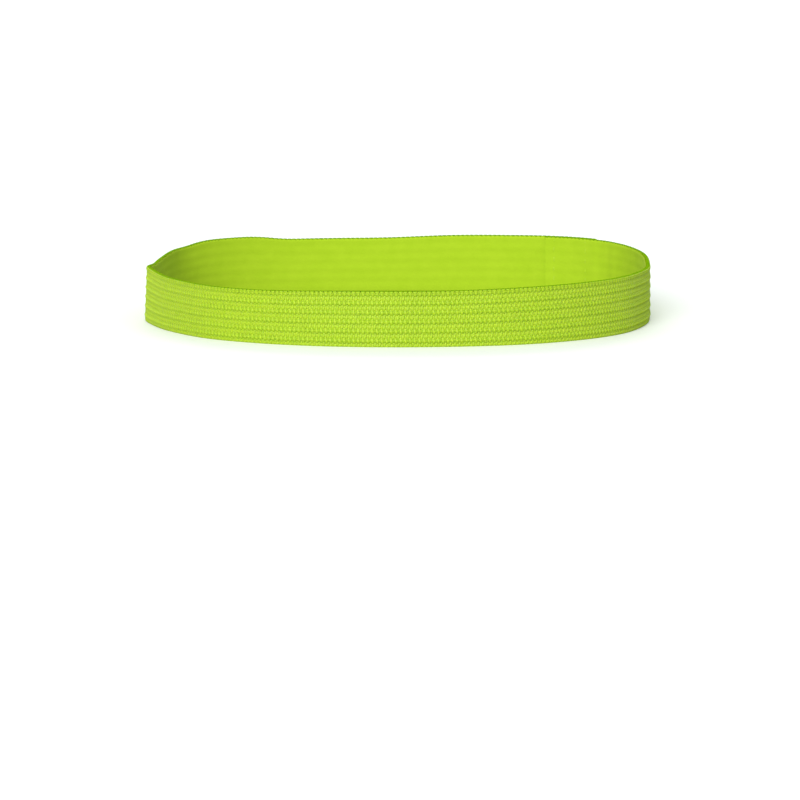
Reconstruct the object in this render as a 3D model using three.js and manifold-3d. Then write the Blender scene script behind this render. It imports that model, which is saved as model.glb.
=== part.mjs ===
// A narrow elastic sweat band: a woven strip with a rubber core in each of its six ribs, closed
// into a loop by a lap seam with two rows of lockstitch.
// Millimetres, +Z up. The loop stands on its lower edge, centred on the origin, and the wearer's
// forehead would face -Y. The seam is at the back, to the right of the middle.

import * as THREE from 'three';
import { mergeVertices } from 'three/addons/utils/BufferGeometryUtils.js';
import Module from 'manifold-3d';

// Loop, seen from above.
const loopWidth = 150;
const loopDepth = 150;
const frontSquareness = 2.1;
const backLeftSquareness = 2.6;
const backRightSquareness = 3.5;

// Strip, seen at its cut end.
const bandHeight = 16.5;
const ribCount = 6;
const coreSize = 0.8;
const coreClearance = 0.1;
const yarnWall = 0.4;
const webThickness = 0.9;
const curveSteps = 3;

// Lap seam.
const seamStart = 44.6;
const lapLength = 17;
const lapGap = 0.3;
const lapEase = 14;
const coreRecess = 0.5;

// Stitching.
const threadDiameter = 0.3;
const threadClearance = 0.1;
const seamInset = 3;
const threadCurveSteps = 2;

// Longest facet along the strip.
const stationStep = 8;

const tunnelSize = coreSize + 2 * coreClearance;
const ribThickness = tunnelSize + 2 * yarnWall;
const ribPitch = bandHeight / ribCount;
const topCoreDepth = tunnelSize / 2 + yarnWall;
const layerOffset = (ribThickness + lapGap) / 2;
const halfWidth = (loopWidth - ribThickness) / 2;
const halfDepth = (loopDepth - ribThickness) / 2;

const lime = 0xb6da3d;
const yarnMaterial = new THREE.MeshStandardMaterial({ color: lime, roughness: 0.8, metalness: 0 });
const threadMaterial = new THREE.MeshStandardMaterial({ color: 0xa9cf3c, roughness: 0.6, metalness: 0 });
const rubberMaterial = new THREE.MeshStandardMaterial({ color: 0xd9d2b4, roughness: 0.7, metalness: 0 });

// The middle of the strip's thickness, once round, clockwise from the middle of the back.
class LoopLine extends THREE.Curve {
  getPoint(t, target = new THREE.Vector3()) {
    const angle = Math.PI / 2 - 2 * Math.PI * t;
    const across = Math.cos(angle);
    const deep = Math.sin(angle);
    const squareness = quarterSquareness(across, deep);
    const x = Math.abs(across / halfWidth) ** squareness;
    const y = Math.abs(deep / halfDepth) ** squareness;
    const radius = (x + y) ** (-1 / squareness);
    return target.set(radius * across, radius * deep, 0);
  }
}

function quarterSquareness(across, deep) {
  if (deep < 0) {
    return frontSquareness;
  }
  return across < 0 ? backLeftSquareness : backRightSquareness;
}

const loop = new LoopLine();
loop.arcLengthDivisions = 2000;
const loopLength = loop.getLength();
const stripLength = loopLength + lapLength;

// Distance along the loop from the middle of the back to the strip's inner cut end.
function findSeam() {
  const step = 0.05;
  let run = 0;
  while (loop.getPointAt(run / loopLength).x < seamStart) {
    run += step;
  }
  return run;
}

const seamRun = findSeam();

function ease(share) {
  const held = THREE.MathUtils.clamp(share, 0, 1);
  return held * held * (3 - 2 * held);
}

// The strip starts as the inner layer of the lap and ends as the outer one.
function lapOffset(run) {
  const inner = 1 - ease((run - lapLength) / lapEase);
  const outer = ease((run - loopLength + lapEase) / lapEase);
  return layerOffset * (outer - inner);
}

// A place on the loop, with the directions along it and outwards.
function placeOnLoop(run) {
  const share = ((seamRun + run) / loopLength) % 1;
  const point = loop.getPointAt(share);
  const along = loop.getTangentAt(share);
  const outward = new THREE.Vector3(-along.y, along.x, 0);
  return { point, along, outward };
}

function stripPoint(run) {
  const { point, outward } = placeOnLoop(run);
  return point.addScaledVector(outward, lapOffset(run));
}

// A curve through given points, with one step from each point to the next.
class PointRun extends THREE.Curve {
  constructor(points) {
    super();
    this.points = points;
  }

  getUtoTmapping(u) {
    return u;
  }

  getPoint(t, target = new THREE.Vector3()) {
    const last = this.points.length - 1;
    const place = THREE.MathUtils.clamp(t, 0, 1) * last;
    const index = Math.min(Math.floor(place), last - 1);
    return target.lerpVectors(this.points[index], this.points[index + 1], place - index);
  }
}

function sweep(section, points, curveSegments) {
  const extrudePath = new PointRun(points);
  return new THREE.ExtrudeGeometry(section, { extrudePath, steps: points.length - 1, curveSegments });
}

// Two rows of stitches join the layers of the lap, one near each cut end.
const seamRows = [
  { letter: 'a', run: seamInset },
  { letter: 'b', run: lapLength - seamInset },
];

// Facets end at the seam rows and the cut ends, so that both layers bend at the same places.
function stationRuns() {
  const lapMarks = [0, ...seamRows.map((row) => row.run), lapLength];
  const marks = [...lapMarks, ...lapMarks.map((run) => loopLength + run)];
  const runs = [0];
  for (let i = 1; i < marks.length; i += 1) {
    const length = marks[i] - marks[i - 1];
    const count = Math.ceil(length / stationStep);
    for (let k = 1; k <= count; k += 1) {
      runs.push(marks[i - 1] + (length * k) / count);
    }
  }
  return runs;
}

// Points along the strip. A recess moves only the two ends in.
function stripPoints(recess) {
  const held = (run) => THREE.MathUtils.clamp(run, recess, stripLength - recess);
  return stationRuns().map((run) => stripPoint(held(run)));
}

// Heights, counted from the top: the first core lies right in the upper edge, where the weft
// turns round it, and the last valley lies right above the lower edge.
function ribMiddle(rib) {
  return bandHeight - topCoreDepth - rib * ribPitch;
}

function valleyHeight(rib) {
  return ribMiddle(rib) - ribPitch / 2;
}

function squareTunnel(height, size) {
  const tunnel = new THREE.Path();
  tunnel.moveTo(-height - size / 2, -size / 2);
  tunnel.lineTo(-height + size / 2, -size / 2);
  tunnel.lineTo(-height + size / 2, size / 2);
  tunnel.lineTo(-height - size / 2, size / 2);
  tunnel.closePath();
  return tunnel;
}

// Half of the strip's outline, from the upper edge down, on the side that sign gives.
function outlineSide(sign) {
  const side = new THREE.Path();
  const crest = (sign * ribThickness) / 2;
  const valley = (sign * webThickness) / 2;
  side.moveTo(-bandHeight, valley / 2);
  side.quadraticCurveTo(-bandHeight, crest, -ribMiddle(0), crest);
  side.quadraticCurveTo(-(ribMiddle(0) + valleyHeight(0)) / 2, crest, -valleyHeight(0), valley);
  for (let rib = 1; rib < ribCount; rib += 1) {
    side.quadraticCurveTo(-ribMiddle(rib), 2 * crest - valley, -valleyHeight(rib), valley);
  }
  side.lineTo(0, valley);
  return side.getPoints(curveSteps);
}

// The sweep turns a section's X downwards and its Y outwards, so a height is its negative X.
function coverSection() {
  const section = new THREE.Shape([...outlineSide(1), ...outlineSide(-1).reverse()]);
  for (let rib = 0; rib < ribCount; rib += 1) {
    section.holes.push(squareTunnel(ribMiddle(rib), tunnelSize));
  }
  return section;
}

// The needle goes in at each valley between two ribs, where it misses the rubber.
const turnRadius = threadDiameter / 2 + threadClearance;
const needleHoleHeight = 2 * (turnRadius + threadDiameter / 2 + threadClearance);
const needleHoleWidth = threadDiameter + 2 * threadClearance;
const lapHalfThickness = layerOffset + ribThickness / 2;
const threadTop = lapHalfThickness + threadClearance + threadDiameter / 2;
const threadBottom = lapGap / 2 + threadDiameter / 2;

function needleHole(row, height) {
  const { point, outward } = placeOnLoop(row.run);
  const depth = 2 * (lapHalfThickness + threadClearance);
  const hole = new THREE.BoxGeometry(needleHoleWidth, depth, needleHoleHeight);
  hole.rotateZ(Math.atan2(outward.y, outward.x) - Math.PI / 2);
  hole.translate(point.x, point.y, height);
  return hole;
}

// One thread of a lockstitch, as [height, distance from the middle of the lap]: over each rib and
// down into each valley, where it turns round the other thread.
function stitchOutline() {
  const outline = [[ribMiddle(0), threadTop]];
  const arc = (height, out, from, to, steps) => {
    for (let i = 0; i <= steps; i += 1) {
      const angle = THREE.MathUtils.degToRad(from + ((to - from) * i) / steps);
      outline.push([height + turnRadius * Math.cos(angle), out + turnRadius * Math.sin(angle)]);
    }
  };
  for (let rib = 0; rib < ribCount - 1; rib += 1) {
    const height = valleyHeight(rib);
    arc(height + 2 * turnRadius, threadTop - turnRadius, 90, 180, 2);
    arc(height, threadBottom + turnRadius, 0, -180, 4);
    arc(height - 2 * turnRadius, threadTop - turnRadius, 0, 90, 2);
  }
  outline.push([ribMiddle(ribCount - 1), threadTop]);
  return outline;
}

function threadSolid(row, side) {
  const { point, outward } = placeOnLoop(row.run);
  const place = ([height, out]) => {
    const spot = point.clone().addScaledVector(outward, side * out);
    spot.z = height;
    return spot;
  };
  const section = new THREE.Shape();
  section.absarc(0, 0, threadDiameter / 2, 0, 2 * Math.PI, false);
  return sweep(section, stitchOutline().map(place), threadCurveSteps);
}

// manifold-3d solids for the needle holes.
const wasm = await Module();
wasm.setup();

function toSolid(geometry) {
  const bare = geometry.clone();
  bare.deleteAttribute('normal');
  bare.deleteAttribute('uv');
  const merged = mergeVertices(bare, 1e-4);
  const vertProperties = new Float32Array(merged.attributes.position.array);
  const triVerts = new Uint32Array(merged.index.array);
  return new wasm.Manifold(new wasm.Mesh({ numProp: 3, vertProperties, triVerts }));
}

function toGeometry(solid) {
  const { vertProperties, triVerts } = solid.getMesh();
  const geometry = new THREE.BufferGeometry();
  geometry.setAttribute('position', new THREE.BufferAttribute(vertProperties, 3));
  geometry.setIndex(new THREE.BufferAttribute(triVerts, 1));
  geometry.computeVertexNormals();
  return geometry;
}

// The weft and the ground warps, as one strip with a tunnel for each rubber core, open at both
// cut ends.
function wovenCover() {
  let solid = toSolid(sweep(coverSection(), stripPoints(0), curveSteps));
  for (const row of seamRows) {
    for (let rib = 0; rib < ribCount - 1; rib += 1) {
      solid = solid.subtract(toSolid(needleHole(row, valleyHeight(rib))));
    }
  }
  return toGeometry(solid);
}

// A thread cut from a rubber sheet, so it is square.
function rubberCore(rib) {
  const section = new THREE.Shape(squareTunnel(ribMiddle(rib), coreSize).getPoints());
  return sweep(section, stripPoints(coreRecess), 1);
}

const band = new THREE.Group();

function addPiece(name, geometry, material) {
  const mesh = new THREE.Mesh(geometry, material);
  mesh.name = name;
  band.add(mesh);
  return mesh;
}

const cover = addPiece('woven_cover', wovenCover(), yarnMaterial);
for (let rib = 0; rib < ribCount; rib += 1) {
  addPiece(`rubber_core_${rib + 1}`, rubberCore(rib), rubberMaterial);
}
for (const row of seamRows) {
  addPiece(`needle_thread_${row.letter}`, threadSolid(row, 1), threadMaterial);
  addPiece(`bobbin_thread_${row.letter}`, threadSolid(row, -1), threadMaterial);
}

// The facets leave the loop a little off centre.
const coverBox = new THREE.Box3().setFromObject(cover);
const middle = coverBox.getCenter(new THREE.Vector3());
band.position.set(-middle.x, -middle.y, 0);

export default band;
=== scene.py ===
import math

import bmesh
import bpy
import numpy as np
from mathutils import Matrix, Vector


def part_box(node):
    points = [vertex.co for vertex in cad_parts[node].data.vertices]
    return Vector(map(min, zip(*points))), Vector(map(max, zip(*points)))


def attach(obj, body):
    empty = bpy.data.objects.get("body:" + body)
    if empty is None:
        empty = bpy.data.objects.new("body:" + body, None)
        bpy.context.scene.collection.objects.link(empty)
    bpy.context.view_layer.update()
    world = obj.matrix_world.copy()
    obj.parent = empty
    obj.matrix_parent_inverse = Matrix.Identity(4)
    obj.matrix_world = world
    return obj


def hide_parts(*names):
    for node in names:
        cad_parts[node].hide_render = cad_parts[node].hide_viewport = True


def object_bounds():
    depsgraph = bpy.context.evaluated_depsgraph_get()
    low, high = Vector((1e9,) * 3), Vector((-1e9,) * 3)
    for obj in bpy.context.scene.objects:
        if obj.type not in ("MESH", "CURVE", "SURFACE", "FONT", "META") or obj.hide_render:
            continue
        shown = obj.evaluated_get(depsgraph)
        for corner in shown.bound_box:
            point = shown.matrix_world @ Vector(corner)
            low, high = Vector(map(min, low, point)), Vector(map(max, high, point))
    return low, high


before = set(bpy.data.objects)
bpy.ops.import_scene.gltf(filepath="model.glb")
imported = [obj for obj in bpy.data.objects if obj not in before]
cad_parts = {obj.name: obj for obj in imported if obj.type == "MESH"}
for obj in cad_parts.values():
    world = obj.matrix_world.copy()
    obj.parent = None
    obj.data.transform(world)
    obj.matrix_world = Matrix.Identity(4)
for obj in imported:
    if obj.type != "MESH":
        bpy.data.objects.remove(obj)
cad_low, cad_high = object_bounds()


# --- Covered rubber --------------------------------------------------------------------------
# Six rubber threads run the whole length of the strip, one in each rib. Each is a square thread
# of natural rubber, wrapped round and round in fine lime yarn, which hides it and makes it round.
# It is stretched in the loom, so that the finished strip pulls in.

MM = 0.001
rib_thickness = 1.8 * MM
front_squareness = 2.1
back_left_squareness = 2.6
back_right_squareness = 3.5
seam_start = 44.6 * MM
lap_length = 17.0 * MM
lap_ease = 14.0 * MM
lap_half = 0.78 * MM
lap_press = 0.86
band_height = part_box("woven_cover")[1][2]
half_width = (cad_high[0] - cad_low[0] - rib_thickness) / 2
half_depth = (cad_high[1] - cad_low[1] - rib_thickness) / 2


def loop_line(samples=24000):
    """The middle of the strip's thickness, once round, clockwise from the middle of the back."""
    angle = np.pi / 2 - 2 * np.pi * np.linspace(0, 1, samples + 1)
    across, deep = np.cos(angle), np.sin(angle)
    back = np.where(across < 0, back_left_squareness, back_right_squareness)
    squareness = np.where(deep < 0, front_squareness, back)
    share = np.abs(across / half_width) ** squareness + np.abs(deep / half_depth) ** squareness
    radius = share ** (-1 / squareness)
    return np.column_stack([radius * across, radius * deep])


loop_points = loop_line()
loop_steps = np.linalg.norm(np.diff(loop_points, axis=0), axis=1)
loop_run = np.concatenate([[0], np.cumsum(loop_steps)])
loop_length = loop_run[-1]
seam_run = loop_run[np.argmax(loop_points[:, 0] > seam_start)]
strip_length = loop_length + lap_length


def ease(share):
    held = np.clip(share, 0, 1)
    return held * held * (3 - 2 * held)


def lap_share(run):
    """-1 on the inner layer of the lap, 1 on the outer one, 0 where the strip is single."""
    inner = 1 - ease((run - lap_length) / lap_ease)
    outer = ease((run - loop_length + lap_ease) / lap_ease)
    return outer - inner


def swell(angle, middle, width, size):
    """A soft change around one place on the loop; the angles are degrees round from the right."""
    away = (angle - middle + 180) % 360 - 180
    return size * np.exp(-(away / width) ** 4)


def settle(x, y, height):
    """How the soft loop stands: its edge waves, its left end is pinched, and the lap's end kinks."""
    angle = np.degrees(np.arctan2(y, x))
    lift = (swell(angle, 129, 11, 1.2) + swell(angle, 62, 25, 0.95) + swell(angle, 168, 12, -0.6)
            + swell(angle, 220, 30, -0.8) + swell(angle, 320, 30, 0.45)) * MM
    push = (swell(angle, 163, 15, -2.2) + swell(angle, 202, 16, -1.3) + swell(angle, 314, 24, 1.5)
            + swell(angle, 43.5, 2.2, 0.32)) * MM
    lean = swell(angle, 180, 40, -0.6) * MM * height / band_height
    share = 1 + (push + lean) / np.hypot(x, y)
    return np.stack([x * share, y * share, height * (1 + lift / band_height)], axis=-1)


def wrap(run, out, height):
    """Takes flat strip places to the loop: run from the inner cut end, out from the middle."""
    place = (seam_run + run) % loop_length
    x = np.interp(place, loop_run, loop_points[:, 0])
    y = np.interp(place, loop_run, loop_points[:, 1])
    reach = 0.2 * MM
    ahead = (place + reach) % loop_length
    behind = (place - reach) % loop_length
    along_x = np.interp(ahead, loop_run, loop_points[:, 0]) - np.interp(behind, loop_run, loop_points[:, 0])
    along_y = np.interp(ahead, loop_run, loop_points[:, 1]) - np.interp(behind, loop_run, loop_points[:, 1])
    size = np.hypot(along_x, along_y)
    share = lap_share(run)
    press = 1 - (1 - lap_press) * np.abs(share)
    offset = out * press + share * lap_half
    return settle(x - along_y / size * offset, y + along_x / size * offset, height)


def tube(name, centre, wide, thick, wide_axis, sides, painted_shade=None):
    """A yarn along centre, as flat strip places, with an oval section, wrapped round the loop."""
    rings = len(centre)
    along = np.gradient(centre, axis=0)
    along /= np.linalg.norm(along, axis=1, keepdims=True)
    across = np.array(wide_axis, float) - along * (along @ np.array(wide_axis, float))[:, None]
    across /= np.linalg.norm(across, axis=1, keepdims=True)
    up = np.cross(along, across)
    steps = np.linalg.norm(np.diff(centre, axis=0), axis=1)
    length = np.concatenate([[0], np.cumsum(steps)])

    bm = bmesh.new()
    bmesh.ops.create_grid(bm, x_segments=rings - 1, y_segments=sides, size=1)
    mesh = bpy.data.meshes.new(name)
    bm.to_mesh(mesh)
    bm.free()
    flat = np.empty(len(mesh.vertices) * 3)
    mesh.vertices.foreach_get("co", flat)
    flat = flat.reshape(-1, 3)
    ring = np.rint((flat[:, 0] + 1) / 2 * (rings - 1)).astype(int)
    corner = np.rint((flat[:, 1] + 1) / 2 * sides).astype(int)
    turn = 2 * np.pi * corner / sides
    spot = centre[ring]
    spot = spot + across[ring] * (wide[ring] / 2 * np.cos(turn))[:, None]
    spot = spot + up[ring] * (thick[ring] / 2 * np.sin(turn))[:, None]
    places = wrap(spot[:, 0], spot[:, 1], spot[:, 2])
    mesh.vertices.foreach_set("co", places.ravel())

    # painted_shade: per point, how much painted shade darkens the yarn's colour.
    shade_paint = mesh.attributes.new("painted_shade", "FLOAT", "POINT")
    shade_paint.data.foreach_set("value", np.zeros(len(ring)) if painted_shade is None else painted_shade[ring])
    layer = mesh.uv_layers.new(name="yarn")
    corners = np.empty(len(mesh.loops), int)
    mesh.loops.foreach_get("vertex_index", corners)
    uvs = np.column_stack([length[ring[corners]] / MM, corner[corners] / sides])
    layer.data.foreach_set("uv", uvs.ravel())

    bm = bmesh.new()
    bm.from_mesh(mesh)
    bmesh.ops.remove_doubles(bm, verts=bm.verts, dist=1e-7)
    rims = [edge for edge in bm.edges if edge.is_boundary]
    bmesh.ops.holes_fill(bm, edges=rims, sides=0)
    bmesh.ops.recalc_face_normals(bm, faces=bm.faces)
    for face in bm.faces:
        face.smooth = True
    bm.to_mesh(mesh)
    bm.free()
    piece = bpy.data.objects.new(name, mesh)
    bpy.context.scene.collection.objects.link(piece)
    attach(piece, "root")
    return piece


def new_material(name):
    material = bpy.data.materials.new(name)
    material.use_nodes = True
    nodes = material.node_tree.nodes
    return material, nodes, material.node_tree.links, nodes["Principled BSDF"]


core_count = 6
cover_diameter = 1.26 * MM
core_steps = 420
core_sides = 10
core_heights = [(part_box(f"rubber_core_{k}")[0][2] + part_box(f"rubber_core_{k}")[1][2]) / 2
                for k in range(1, core_count + 1)]
core_recess = 0.4 * MM


def fibre_group():
    """Fine fibres lying along a yarn with a slight twist: a height, and a soft light and dark."""
    group = bpy.data.node_groups.new("fibres", "ShaderNodeTree")
    group.interface.new_socket("Density", in_out="INPUT", socket_type="NodeSocketFloat")
    group.interface.new_socket("Twist", in_out="INPUT", socket_type="NodeSocketFloat")
    group.interface.new_socket("Height", in_out="OUTPUT", socket_type="NodeSocketFloat")
    group.interface.new_socket("Tone", in_out="OUTPUT", socket_type="NodeSocketFloat")
    nodes = group.nodes
    links = group.links
    given = nodes.new("NodeGroupInput")
    result = nodes.new("NodeGroupOutput")
    place = nodes.new("ShaderNodeUVMap")
    place.uv_map = "yarn"
    parts = nodes.new("ShaderNodeSeparateXYZ")
    links.new(place.outputs["UV"], parts.inputs["Vector"])

    def worked_out(kind, first, second):
        node = nodes.new("ShaderNodeMath")
        node.operation = kind
        for socket, value in zip(node.inputs, (first, second)):
            if isinstance(value, (int, float)):
                socket.default_value = value
            elif value is not None:
                links.new(value, socket)
        return node.outputs["Value"]

    lay = worked_out("MULTIPLY", parts.outputs["X"], given.outputs["Twist"])
    turn = worked_out("ADD", worked_out("MULTIPLY", parts.outputs["Y"], 2 * math.pi), lay)
    round_x = worked_out("MULTIPLY", worked_out("COSINE", turn, None), given.outputs["Density"])
    round_y = worked_out("MULTIPLY", worked_out("SINE", turn, None), given.outputs["Density"])
    spot = nodes.new("ShaderNodeCombineXYZ")
    links.new(round_x, spot.inputs["X"])
    links.new(round_y, spot.inputs["Y"])
    links.new(worked_out("MULTIPLY", parts.outputs["X"], 0.7), spot.inputs["Z"])
    noise = nodes.new("ShaderNodeTexNoise")
    noise.inputs["Scale"].default_value = 1.0
    noise.inputs["Detail"].default_value = 3.0
    noise.inputs["Roughness"].default_value = 0.6
    links.new(spot.outputs["Vector"], noise.inputs["Vector"])
    links.new(noise.outputs["Fac"], result.inputs["Height"])
    body = nodes.new("ShaderNodeTexCoord")
    cloud = nodes.new("ShaderNodeTexNoise")
    cloud.inputs["Scale"].default_value = 420.0
    cloud.inputs["Detail"].default_value = 2.0
    links.new(body.outputs["Object"], cloud.inputs["Vector"])
    links.new(worked_out("MULTIPLY", worked_out("ADD", noise.outputs["Fac"], cloud.outputs["Fac"]), 0.5),
              result.inputs["Tone"])
    return group


fibres = fibre_group()


# The painted shade: how far each channel of the colour darkens where the painted_shade attribute is full.
painted_shade_tone = (0.30, 0.44, 0.1)


def yarn_material(name, dark, light, roughness, density, twist, depth):
    """Dyed polyester: two close tones that follow the fibres, with painted shade that darkens the colour by
    the painted_shade attribute, at the edge turns and between stitches.
    """
    material, nodes, links, shader = new_material(name)
    lay = nodes.new("ShaderNodeGroup")
    lay.node_tree = fibres
    lay.inputs["Density"].default_value = density
    lay.inputs["Twist"].default_value = twist
    ramp = nodes.new("ShaderNodeValToRGB")
    ramp.color_ramp.elements[0].position = 0.35
    ramp.color_ramp.elements[0].color = (*dark, 1)
    ramp.color_ramp.elements[1].position = 0.65
    ramp.color_ramp.elements[1].color = (*light, 1)
    links.new(lay.outputs["Tone"], ramp.inputs["Fac"])
    # Painted shade: the colour darkens towards painted_shade_tone where the painted_shade attribute is
    # high.
    shade_attribute = nodes.new("ShaderNodeAttribute")
    shade_attribute.attribute_name = "painted_shade"
    shade_mix = nodes.new("ShaderNodeMix")
    shade_mix.data_type = "RGBA"
    shade_mix.inputs["B"].default_value = (*[share * part for share, part in zip(painted_shade_tone, dark)], 1)
    links.new(shade_attribute.outputs["Fac"], shade_mix.inputs["Factor"])
    links.new(ramp.outputs["Color"], shade_mix.inputs["A"])
    links.new(shade_mix.outputs["Result"], shader.inputs["Base Color"])
    bump = nodes.new("ShaderNodeBump")
    bump.inputs["Strength"].default_value = 0.6
    bump.inputs["Distance"].default_value = depth
    links.new(lay.outputs["Height"], bump.inputs["Height"])
    links.new(bump.outputs["Normal"], shader.inputs["Normal"])
    shader.inputs["Roughness"].default_value = roughness
    shader.inputs["Specular IOR Level"].default_value = 0.25
    shader.inputs["Sheen Weight"].default_value = 0.08
    shader.inputs["Sheen Roughness"].default_value = 0.5
    shader.inputs["Sheen Tint"].default_value = (0.85, 1.0, 0.35, 1)
    shader.inputs["Subsurface Weight"].default_value = 0.7
    shader.inputs["Subsurface Radius"].default_value = (1.0, 1.0, 0.25)
    shader.inputs["Subsurface Scale"].default_value = 0.6 * MM
    return material


covering_dark = (0.34, 0.54, 0.016)
covering_light = (0.41, 0.62, 0.022)
core_yarn = yarn_material("core_covering", covering_dark, covering_light, 0.8, 5, 9, 0.04 * MM)

core_run = np.linspace(core_recess, strip_length - core_recess, core_steps)
for number, height in enumerate(core_heights, 1):
    line = np.column_stack([core_run, np.zeros_like(core_run), np.full_like(core_run, height)])
    size = np.full(len(line), cover_diameter)
    core = tube(f"covered_rubber_{number}", line, size, size, (0, 0, 1), core_sides)
    core.data.materials.append(core_yarn)
    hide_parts(f"rubber_core_{number}")


# --- Ground warps ----------------------------------------------------------------------------
# Six soft polyester yarns run along the valleys between the ribs and along the lower edge. The
# weft goes over and under them, which keeps the ribs apart.

pick_spacing = 0.685 * MM
warp_wide = 1.36 * MM
warp_thick = 0.96 * MM
warp_crimp = 0.05 * MM
warp_sides = 6
rib_pitch = core_heights[0] - core_heights[1]
warp_heights = [height - rib_pitch / 2 for height in core_heights]

lime_dark = (0.455, 0.665, 0.025)
lime_light = (0.51, 0.72, 0.033)
yarn = yarn_material("lime_yarn", lime_dark, lime_light, 0.5, 4, 1.2, 0.05 * MM)

pick_count = int(strip_length / pick_spacing) // 2 * 2
end_margin = (strip_length - (pick_count - 1) * pick_spacing) / 2
warp_run = np.arange(end_margin / 2, strip_length - end_margin / 2, pick_spacing / 2)
for number, height in enumerate(warp_heights, 1):
    crimp = warp_crimp * np.cos(np.pi * (warp_run - end_margin) / pick_spacing)
    line = np.column_stack([warp_run, crimp, np.full_like(warp_run, height)])
    wide = np.full(len(line), warp_wide)
    thick = np.full(len(line), warp_thick)
    warp = tube(f"ground_warp_{number}", line, wide, thick, (0, 0, 1), warp_sides)
    warp.data.materials.append(yarn)


# --- Weft ------------------------------------------------------------------------------------
# One polyester yarn goes up and down across the strip, over one warp and under the next, and
# turns round the top rubber thread and the bottom ground warp. It makes nearly all of what
# shows: plump stitches over the ribs, each half a step on from the next row's.

outer_wide_rib = 0.82 * MM
outer_wide_valley = 0.92 * MM
outer_thick = 0.28 * MM
inner_wide = 1.26 * MM
inner_thick = 0.24 * MM
crossing_wide = 0.80 * MM
outer_rib_reach = 0.66 * MM
outer_valley_reach = 0.44 * MM
inner_rib_reach = 0.58 * MM
inner_valley_reach = 0.46 * MM
crossing_reach = 0.43 * MM
half_row = rib_pitch / 4
stitch_lean = 0.17 * MM
# crossing_shade: painted shade on the outer yarn where it dives between stitches, at its deepest.
crossing_shade = 0.3
weft_sides = 8
weft_pieces = 4
outer_shares = (-1, -0.82, -0.5, 0, 0.5, 0.82)
inner_shares = (-1, -0.6, 0.6)
turn_share = 0.4
place_spread = 0.012 * MM
height_spread = 0.016
width_spread = 0.03
# Faces with more painted shade than this are the edge turns.
edge_shade_threshold = 0.35

row_heights = np.array([z for pair in zip(core_heights, warp_heights) for z in pair])
row_count = len(row_heights)
chance = np.random.default_rng(7)

# Over the top edge, then under the bottom one: how far out, how far up from the last row, width
# and thickness of the yarn, and how much painted shade darkens it.
top_turn = [(0.63, 0.12, 0.84, 0.28, 0), (0.60, 0.26, 0.98, 0.26, 0.5),
            (0.60, 0.40, 1.30, 0.24, 0.05), (0.50, 0.58, 1.34, 0.22, 0.6),
            (0.26, 0.73, 1.36, 0.22, 1), (-0.06, 0.78, 1.36, 0.22, 1),
            (-0.40, 0.70, 1.36, 0.22, 1), (-0.60, 0.46, 1.36, 0.20, 0.5)]
bottom_turn = [(0.42, -0.04, 0.90, 0.28, 0), (0.34, -0.20, 0.92, 0.26, 0.3),
               (0.05, -0.33, 0.95, 0.24, 0.6), (-0.36, -0.22, 1.10, 0.22, 0.3)]


def pick_path(upward):
    """One pick: places and sizes, how free each is to vary, its row, and how much painted shade it carries.
    """
    places, free, rows, painted_shade = [], [], [], []
    way = 1 if upward else -1
    for row in range(row_count - 1, -1, -1) if upward else range(row_count):
        outer = (row % 2 == 0) == upward
        last = row == 0 if upward else row == row_count - 1
        first = row == row_count - 1 if upward else row == 0
        on_rib = row % 2 == 0
        if outer:
            reach = outer_rib_reach if on_rib else outer_valley_reach
            wide, thick = (outer_wide_rib if on_rib else outer_wide_valley), outer_thick
        else:
            reach = -(inner_rib_reach if on_rib else inner_valley_reach)
            wide, thick = inner_wide, inner_thick
        for share in outer_shares if outer else inner_shares:
            if (last and share > -turn_share) or (first and share < -turn_share):
                continue
            full = math.cos(share * math.pi / 2) ** 2
            height = row_heights[row] + way * share * half_row
            out = crossing_reach + (reach - crossing_reach) * full
            lean = stitch_lean * share * (1 if outer else -1)
            places.append((lean, out, height, crossing_wide + (wide - crossing_wide) * full, thick))
            free.append(full)
            rows.append(row)
            # Painted shade where the outer yarn dives between stitches.
            painted_shade.append(crossing_shade * (1 - full) if outer else 0)
        if last:
            for out, rise, wide, thick, shade_paint in top_turn if upward else bottom_turn:
                places.append((0, out * MM, row_heights[row] + rise * MM, wide * MM, thick * MM))
                free.append(0)
                rows.append(row)
                painted_shade.append(shade_paint)
    return np.array(places), np.array(free), np.array(rows), np.array(painted_shade)


upward_pick, downward_pick = pick_path(True), pick_path(False)

# The turns at the two edges lie flat and have no gloss or sheen; they are the faces with the strongest
# painted shade.
edge_yarn = yarn_material("lime_yarn_edge", lime_dark, lime_light, 1.0, 4, 1.2, 0.05 * MM)
shader = edge_yarn.node_tree.nodes["Principled BSDF"]
shader.inputs["Specular IOR Level"].default_value = 0.0
shader.inputs["Sheen Weight"].default_value = 0.0

for number in range(weft_pieces):
    line, shade_paint = [], []
    for pick in range(pick_count * number // weft_pieces, pick_count * (number + 1) // weft_pieces):
        places, free, rows, painted_shade = upward_pick if pick % 2 == 0 else downward_pick
        places = places.copy()
        places[:, 0] += end_margin + pick * pick_spacing
        places[:, 0] += free * chance.normal(0, place_spread, row_count)[rows]
        places[:, 1] *= 1 + free * chance.normal(0, height_spread, row_count)[rows]
        places[:, 3] *= 1 + free * chance.normal(0, width_spread, row_count)[rows]
        line.append(places)
        shade_paint.append(painted_shade)
    line = np.vstack(line)
    weft = tube(f"weft_yarn_{number + 1}", line[:, :3], line[:, 3], line[:, 4], (1, 0, 0),
                weft_sides, np.concatenate(shade_paint))
    weft.data.materials.append(yarn)
    weft.data.materials.append(edge_yarn)
    # The edge material goes on the faces with the strongest painted shade.
    shade_attribute = weft.data.attributes["painted_shade"].data
    for face in weft.data.polygons:
        face.material_index = int(shade_attribute[face.vertices[0]].value > edge_shade_threshold)
    if number == 0:
        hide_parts("woven_cover")


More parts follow.
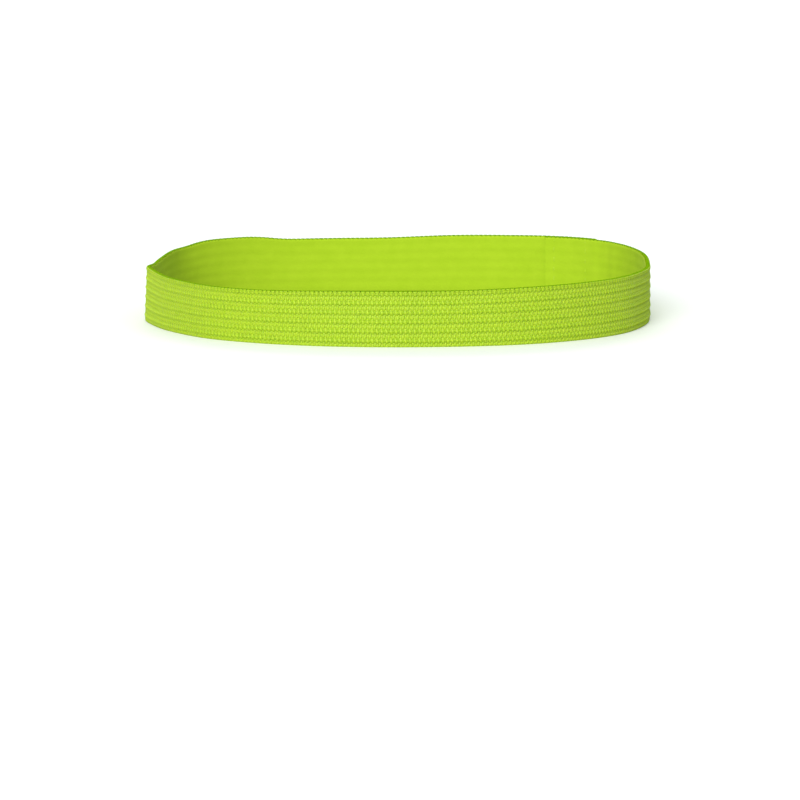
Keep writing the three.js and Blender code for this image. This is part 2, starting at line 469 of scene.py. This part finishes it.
# --- Brushed inner face ----------------------------------------------------------------------
# The weft's floats on the inner face are brushed in the finishing, so that their broken fibres
# stand up as a short dense nap. It hides the weave there and feels soft on the skin; only the
# ribs show through faintly.

nap_reach = 0.76 * MM
nap_rib_depth = 0.035 * MM
nap_roughness = 0.008 * MM
nap_low = 0.22 * MM
nap_high = band_height - 0.14 * MM
nap_edge_curl = 0.42 * MM
nap_edge_width = 0.55 * MM
nap_end_margin = 0.2 * MM
nap_columns = 1150
nap_rows = 68

bm = bmesh.new()
bmesh.ops.create_grid(bm, x_segments=nap_columns, y_segments=nap_rows, size=1)
nap_mesh = bpy.data.meshes.new("brushed_nap")
bm.to_mesh(nap_mesh)
bm.free()
flat = np.empty(len(nap_mesh.vertices) * 3)
nap_mesh.vertices.foreach_get("co", flat)
flat = flat.reshape(-1, 3)
nap_run = nap_end_margin + (flat[:, 0] + 1) / 2 * (strip_length - 2 * nap_end_margin)
nap_share = (flat[:, 1] + 1) / 2
nap_height = nap_low + nap_share * (nap_high - nap_low)
edge_gap = np.minimum(nap_height - nap_low, nap_high - nap_height)
curl = nap_edge_curl * (1 - ease(edge_gap / nap_edge_width)) ** 2
ribs = nap_rib_depth * np.cos(2 * np.pi * (nap_height - core_heights[0]) / rib_pitch)
rough = chance.normal(0, nap_roughness, len(nap_run))
places = wrap(nap_run, -(nap_reach + ribs + rough - curl), nap_height)
nap_mesh.vertices.foreach_set("co", places.ravel())
layer = nap_mesh.uv_layers.new(name="yarn")
corners = np.empty(len(nap_mesh.loops), int)
nap_mesh.loops.foreach_get("vertex_index", corners)
uvs = np.column_stack([nap_height[corners] / MM, nap_run[corners] / MM])
layer.data.foreach_set("uv", uvs.ravel())
nap_mesh.polygons.foreach_set("use_smooth", np.ones(len(nap_mesh.polygons), bool))
nap = bpy.data.objects.new("brushed_nap", nap_mesh)
bpy.context.scene.collection.objects.link(nap)
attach(nap, "root")

nap_material, nodes, links, shader = new_material("lime_nap")
body = nodes.new("ShaderNodeTexCoord")
fuzz = nodes.new("ShaderNodeTexNoise")
fuzz.inputs["Scale"].default_value = 5200.0
fuzz.inputs["Detail"].default_value = 3.0
links.new(body.outputs["Object"], fuzz.inputs["Vector"])
patches = nodes.new("ShaderNodeTexNoise")
patches.inputs["Scale"].default_value = 260.0
patches.inputs["Detail"].default_value = 3.0
links.new(body.outputs["Object"], patches.inputs["Vector"])
both = nodes.new("ShaderNodeMath")
both.operation = "MULTIPLY_ADD"
both.inputs[1].default_value = 0.35
links.new(fuzz.outputs["Fac"], both.inputs[0])
share = nodes.new("ShaderNodeMath")
share.operation = "MULTIPLY"
share.inputs[1].default_value = 0.65
links.new(patches.outputs["Fac"], share.inputs[0])
links.new(share.outputs["Value"], both.inputs[2])
ramp = nodes.new("ShaderNodeValToRGB")
ramp.color_ramp.elements[0].position = 0.3
ramp.color_ramp.elements[0].color = (0.35, 0.53, 0.015, 1)
ramp.color_ramp.elements[1].position = 0.7
ramp.color_ramp.elements[1].color = (0.39, 0.57, 0.020, 1)
links.new(both.outputs["Value"], ramp.inputs["Fac"])
links.new(ramp.outputs["Color"], shader.inputs["Base Color"])
bump = nodes.new("ShaderNodeBump")
bump.inputs["Strength"].default_value = 0.5
bump.inputs["Distance"].default_value = 0.04 * MM
links.new(fuzz.outputs["Fac"], bump.inputs["Height"])
links.new(bump.outputs["Normal"], shader.inputs["Normal"])
shader.inputs["Roughness"].default_value = 0.9
shader.inputs["Specular IOR Level"].default_value = 0.1
shader.inputs["Sheen Weight"].default_value = 0.1
shader.inputs["Sheen Tint"].default_value = (0.7, 1.0, 0.1, 1)
nap_mesh.materials.append(nap_material)


# --- Seam stitching --------------------------------------------------------------------------
# Two rows of lockstitch hold the lap, one near each cut end, in polyester thread of the band's
# colour. The needle thread lies outside and the bobbin thread inside.

thread_diameter = 0.26 * MM
thread_sides = 10
thread_bulge = 0.3
seam_inset = 3.0 * MM

thread = yarn_material("lime_thread", (0.38, 0.58, 0.022), (0.45, 0.66, 0.03), 0.4, 3, 14, 0.03 * MM)


def smooth_line(knots, samples):
    """A Catmull-Rom curve through the knots."""
    padded = np.vstack([2 * knots[0] - knots[1], knots, 2 * knots[-1] - knots[-2]])
    a, b, c, d = padded[:-3], padded[1:-2], padded[2:-1], padded[3:]
    t = (np.arange(samples) / samples)[None, :, None]
    a, b, c, d = a[:, None], b[:, None], c[:, None], d[:, None]
    line = 0.5 * (2 * b + (c - a) * t + (2 * a - 5 * b + 4 * c - d) * t ** 2
                  + (3 * b - a - 3 * c + d) * t ** 3)
    return np.vstack([line.reshape(-1, knots.shape[1]), knots[-1:]])


def stitch_row(name, run, side):
    """A thread over the ribs and down into the valleys of one layer of the lap."""
    strip_run = run if side < 0 else loop_length + run
    top = (outer_rib_reach + outer_thick / 2 if side > 0 else inner_rib_reach + inner_thick / 2)
    top += thread_diameter * thread_bulge
    dip = outer_valley_reach if side > 0 else inner_valley_reach
    knots = []
    for number in range(core_count):
        knots.append((strip_run, side * top, core_heights[number]))
        if number < core_count - 1:
            knots.append((strip_run, side * dip, warp_heights[number]))
    line = smooth_line(np.array(knots), 10)
    size = np.full(len(line), thread_diameter)
    return tube(name, line, size, size, (1, 0, 0), thread_sides)


for letter, run in (("a", seam_inset), ("b", lap_length - seam_inset)):
    for kind, side in (("needle", 1), ("bobbin", -1)):
        stitches = stitch_row(f"{kind}_stitches_{letter}", run, side)
        stitches.data.materials.append(thread)
        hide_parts(f"{kind}_thread_{letter}")


# --- Floor, light and camera -----------------------------------------------------------------
# A wide white sheet of paper. One large soft lamp stands in front on the left, and a weaker one
# behind; a bright even room fills the rest.

floor_half = 6.0
floor_mesh = bpy.data.meshes.new("floor")
bm = bmesh.new()
bmesh.ops.create_grid(bm, x_segments=1, y_segments=1, size=floor_half)
bm.to_mesh(floor_mesh)
bm.free()
floor = bpy.data.objects.new("floor", floor_mesh)
bpy.context.scene.collection.objects.link(floor)
paper, nodes, links, shader = new_material("paper")
shader.inputs["Base Color"].default_value = (0.98, 0.98, 0.98, 1)
shader.inputs["Roughness"].default_value = 0.9
dull = nodes.new("ShaderNodeBsdfDiffuse")
dull.inputs["Color"].default_value = (0.4, 0.4, 0.4, 1)
path = nodes.new("ShaderNodeLightPath")
choice = nodes.new("ShaderNodeMixShader")
links.new(path.outputs["Is Camera Ray"], choice.inputs["Fac"])
links.new(dull.outputs["BSDF"], choice.inputs[1])
links.new(shader.outputs["BSDF"], choice.inputs[2])
shader.inputs["Emission Color"].default_value = (1, 1, 1, 1)
shader.inputs["Emission Strength"].default_value = 0.1
links.new(choice.outputs["Shader"], nodes["Material Output"].inputs["Surface"])
floor_mesh.materials.append(paper)

world = bpy.data.worlds.new("studio")
bpy.context.scene.world = world
world.use_nodes = True
world.node_tree.nodes["Background"].inputs["Color"].default_value = (0.93, 1.0, 0.95, 1)
world.node_tree.nodes["Background"].inputs["Strength"].default_value = 0.64

for name, power, from_above, turn in (("key", 2.68, 71, -11), ("back_fill", 0.9, 62, 180)):
    light = bpy.data.lights.new(name, "SUN")
    light.angle = math.radians(30)
    light.energy = power
    lamp = bpy.data.objects.new(name, light)
    bpy.context.scene.collection.objects.link(lamp)
    lamp.rotation_euler = (math.radians(from_above), 0, math.radians(turn))

camera_distance = 5.2
camera_elevation = math.radians(6.2)
frame_width = 0.2362
aim_drop = 0.0320
camera_aside = 0.0009
camera_data = bpy.data.cameras.new("camera")
camera = bpy.data.objects.new("camera", camera_data)
bpy.context.scene.collection.objects.link(camera)
camera_data.sensor_width = 36
camera_data.lens = 36 * camera_distance / frame_width
camera_data.clip_start = 0.1
camera_data.clip_end = 50
middle_height = band_height / 2
camera.location = (camera_aside, -camera_distance * math.cos(camera_elevation),
                   middle_height + camera_distance * math.sin(camera_elevation))
drop = math.atan2(aim_drop, camera_distance)
camera.rotation_euler = (math.pi / 2 - camera_elevation - drop, 0, 0)
bpy.context.scene.camera = camera
bpy.context.scene.view_settings.view_transform = "Standard"
